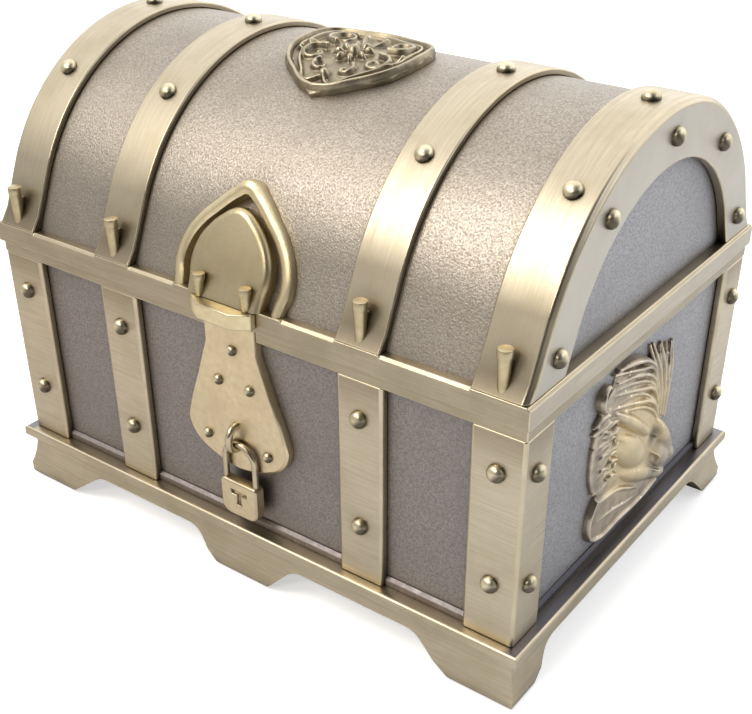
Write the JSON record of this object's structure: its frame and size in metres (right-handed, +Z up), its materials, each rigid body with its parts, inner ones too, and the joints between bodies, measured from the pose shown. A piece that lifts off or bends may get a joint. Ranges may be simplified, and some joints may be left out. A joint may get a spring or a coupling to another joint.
{
  "type": "treasure chest trinket box",
  "caption": "Small cast-metal treasure chest box with a hinged barrel lid, riveted straps, a hasp with a hanging padlock, a crest and lion reliefs.",
  "frame": {"origin": "centre of the footprint on the table, under the middle of the box", "axes": "+X towards the right end seen from the front, -Y towards the hasp and padlock, +Z up"},
  "size_m": [0.1136, 0.0852, 0.0877],
  "materials": {
    "antique_brass": "brushed antique brass plate, dark in the corners",
    "dark_pewter": "grained cast pewter-coloured plate, satin",
    "felt": "black felt",
    "hinge_steel": "plain pin"
  },
  "bodies": {
    "chest": {"plinth": "antique_brass", "floor_plate": "dark_pewter", "floor_felt": "felt", "front_panel": "dark_pewter", "rear_panel": "dark_pewter", "right_panel": "dark_pewter", "left_panel": "dark_pewter", "body_rim": "antique_brass", "base_moulding": "dark_pewter", "front_right_corner_strap": "antique_brass", "front_left_corner_strap": "antique_brass", "rear_right_corner_strap": "antique_brass", "rear_left_corner_strap": "antique_brass", "front_right_strap": "antique_brass", "front_left_strap": "antique_brass", "rear_right_strap": "antique_brass", "rear_left_strap": "antique_brass", "front_rivets": "antique_brass", "rear_rivets": "antique_brass", "right_end_rivets": "antique_brass", "left_end_rivets": "antique_brass", "lock_plate": "antique_brass", "lock_plate_rivets": "antique_brass", "lock_staple": "antique_brass", "right_lion": "antique_brass", "left_lion": "antique_brass", "right_hinge_body_leaf": "antique_brass", "left_hinge_body_leaf": "antique_brass", "right_hinge_pin": "hinge_steel", "left_hinge_pin": "hinge_steel"},
    "lid": {"lid_rail": "antique_brass", "lid_barrel": "dark_pewter", "right_lid_end": "dark_pewter", "left_lid_end": "dark_pewter", "right_end_band": "antique_brass", "left_end_band": "antique_brass", "right_mid_band": "antique_brass", "left_mid_band": "antique_brass", "band_rivets": "antique_brass", "right_arch_rivets": "antique_brass", "left_arch_rivets": "antique_brass", "band_studs": "antique_brass", "hasp_plate": "antique_brass", "hasp_bow": "antique_brass", "hasp_bracket": "antique_brass", "hasp_studs": "antique_brass", "crest_plaque": "antique_brass", "crest_ornament": "antique_brass", "right_hinge_lid_leaf": "antique_brass", "left_hinge_lid_leaf": "antique_brass"},
    "padlock": {"padlock_shackle": "antique_brass", "padlock_case": "antique_brass"}
  },
  "joints": [
    {"name": "lid_hinge", "type": "hinge", "parent": "chest", "child": "lid", "pos_m": [0, 0.04155, 0.051], "axis": [-1, 0, 0], "range_deg": [0, 100]},
    {"name": "padlock_swing", "type": "hinge", "parent": "chest", "child": "padlock", "pos_m": [0.0011, -0.03945, 0.02826], "axis": [-1, 0, 0], "range_deg": [0, 80]}
  ]
}
